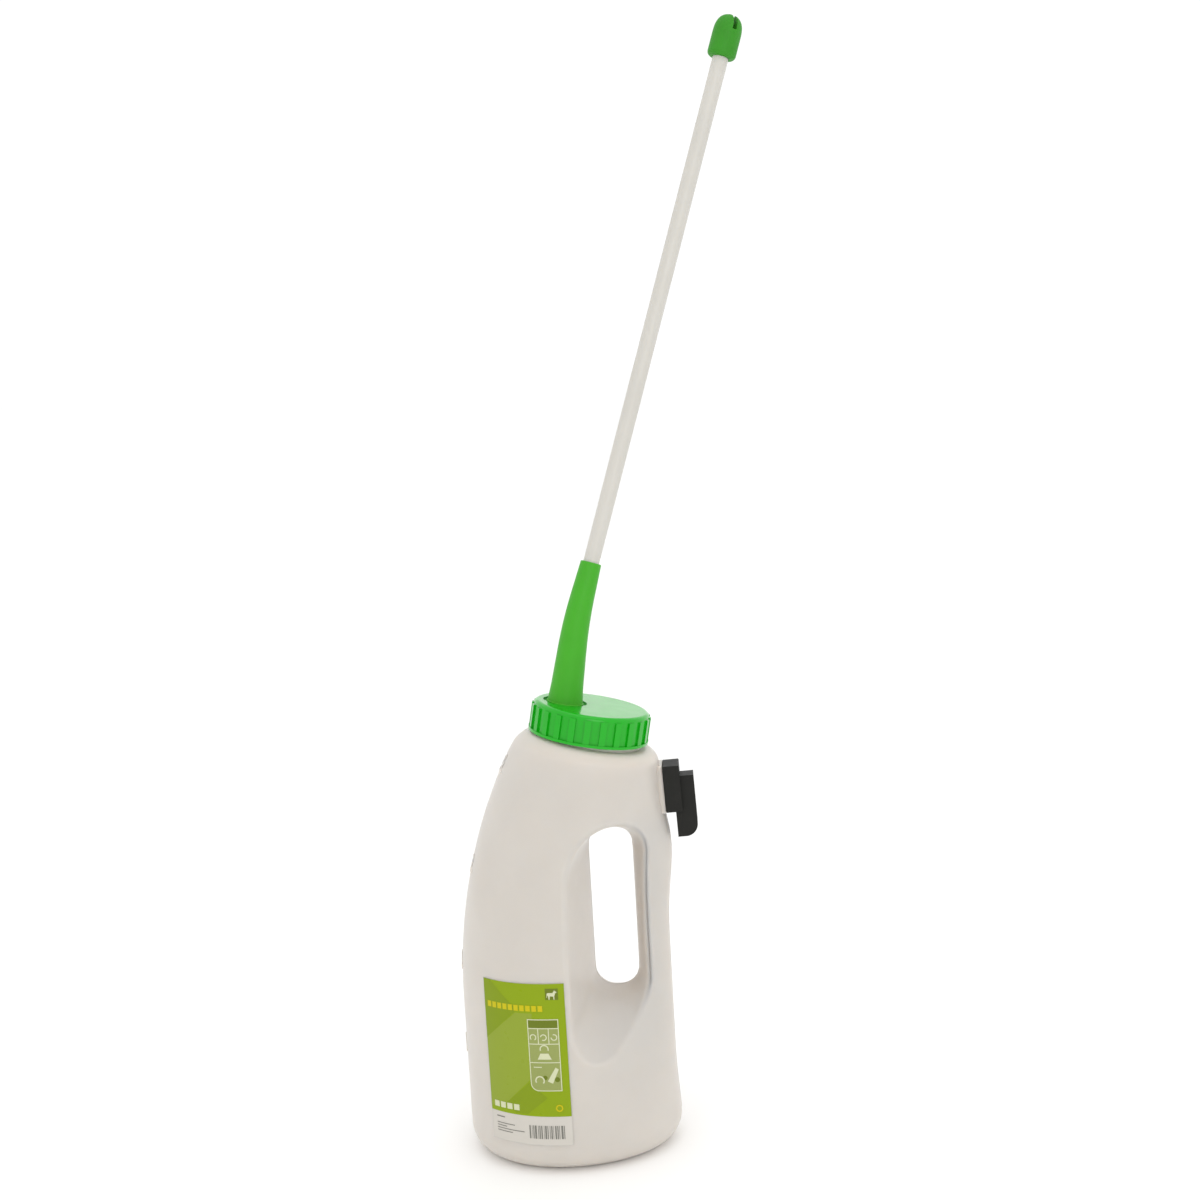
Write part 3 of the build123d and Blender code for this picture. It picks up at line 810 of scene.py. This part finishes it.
class DRENCHER_OT_stage(bpy.types.Operator):
    """Set the pale floor, the soft studio light and the camera"""

    bl_idname = "drencher.stage"
    bl_label = "Stage"

    def execute(self, context):
        stage = context.scene.drencher_stage
        self.floor()
        self.light(context)
        self.camera(context, stage)
        return {"FINISHED"}

    def floor(self):
        """Seamless pale floor."""
        mesh = bpy.data.meshes.new("floor")
        half = FLOOR_HALF
        mesh.from_pydata([(-half, -half, 0), (half, -half, 0), (half, half, 0), (-half, half, 0)],
                         [], [(0, 1, 2, 3)])
        obj = bpy.data.objects.new("floor", mesh)
        bpy.context.scene.collection.objects.link(obj)
        material, tree, output = surface_tree("pale studio floor, painted")
        shader = add_node(tree, "ShaderNodeBsdfPrincipled",
                          values={"Base Color": linear("#FBFBFA", 1), "Roughness": 0.9,
                                  "Specular IOR Level": 0.2})
        tree.links.new(shader.outputs["BSDF"], output.inputs["Surface"])
        mesh.materials.append(material)

    def light(self, context):
        """Bright even surroundings with a soft key from the upper left."""
        world = bpy.data.worlds.new("studio")
        world.use_nodes = True
        tree = world.node_tree
        tree.nodes.clear()
        back = add_node(tree, "ShaderNodeBackground",
                        values={"Color": (1, 1, 1, 1), "Strength": 1.06})
        output = add_node(tree, "ShaderNodeOutputWorld",
                          links={"Surface": back.outputs["Background"]})
        output.is_active_output = True
        context.scene.world = world
        studio_lamp("key", (0.9, -3.2, 1.5), (0.05, 0, 0.45), (2.0, 2.0), 17)
        studio_lamp("top", (0.2, -0.3, 2.6), (0.03, 0, 0.3), (1.6, 1.6), 5)
        studio_lamp("back", (0.0, 4.0, 0.95), (0.03, 0, 0.33), (2.2, 1.2), 1.6)
        context.scene.view_settings.view_transform = "Standard"

    def camera(self, context, stage):
        """Camera at its own turn, pitch and roll round the aim point."""
        a, p, r = stage.azimuth, stage.pitch, stage.roll
        forward = Vector((-math.sin(a) * math.cos(p), math.cos(a) * math.cos(p), -math.sin(p)))
        level = Vector((math.cos(a), math.sin(a), 0))
        above = level.cross(forward)
        right = level * math.cos(r) - above * math.sin(r)
        up = level * math.sin(r) + above * math.cos(r)
        data = bpy.data.cameras.new("camera")
        data.lens = stage.lens
        data.sensor_width = 36.0
        data.clip_start = 0.01
        obj = bpy.data.objects.new("camera", data)
        turned = Matrix((right, up, -forward)).transposed().to_4x4()
        place = Vector(stage.aim) - forward * stage.distance
        obj.matrix_world = Matrix.Translation(place) @ turned
        context.scene.collection.objects.link(obj)
        context.scene.camera = obj


# ---- Panel and registration ------------------------------------------------------------
STEPS = (DRENCHER_OT_bottle, DRENCHER_OT_numerals, DRENCHER_OT_cap, DRENCHER_OT_threads,
         DRENCHER_OT_spout, DRENCHER_OT_tube, DRENCHER_OT_tip, DRENCHER_OT_hook, DRENCHER_OT_label,
         DRENCHER_OT_stage)


class DRENCHER_PT_panel(bpy.types.Panel):
    """Sidebar panel listing the steps that dress the bottle"""

    bl_idname = "DRENCHER_PT_panel"
    bl_label = "Calf Drencher Bottle"
    bl_space_type = "VIEW_3D"
    bl_region_type = "UI"
    bl_category = "Drencher"

    def draw(self, context):
        for step in STEPS:
            self.layout.operator(step.bl_idname)
        for group in ("drencher_sizes", "drencher_colours", "drencher_stage"):
            settings = getattr(context.scene, group)
            for name in settings.__annotations__:
                self.layout.prop(settings, name)


CLASSES = (DrencherSizes, DrencherColours, DrencherStage, *STEPS, DRENCHER_PT_panel)


def register():
    for cls in CLASSES:
        bpy.utils.register_class(cls)
    bpy.types.Scene.drencher_sizes = bpy.props.PointerProperty(type=DrencherSizes)
    bpy.types.Scene.drencher_colours = bpy.props.PointerProperty(type=DrencherColours)
    bpy.types.Scene.drencher_stage = bpy.props.PointerProperty(type=DrencherStage)


def unregister():
    del bpy.types.Scene.drencher_stage
    del bpy.types.Scene.drencher_colours
    del bpy.types.Scene.drencher_sizes
    for cls in reversed(CLASSES):
        bpy.utils.unregister_class(cls)


def main():
    """Registers the add-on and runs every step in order."""
    register()
    bpy.ops.drencher.bottle()
    bpy.ops.drencher.numerals()
    bpy.ops.drencher.cap()
    bpy.ops.drencher.threads()
    bpy.ops.drencher.spout()
    bpy.ops.drencher.tube()
    bpy.ops.drencher.tip()
    bpy.ops.drencher.hook()
    bpy.ops.drencher.label()
    bpy.ops.drencher.stage()


if __name__ == "__main__":
    main()
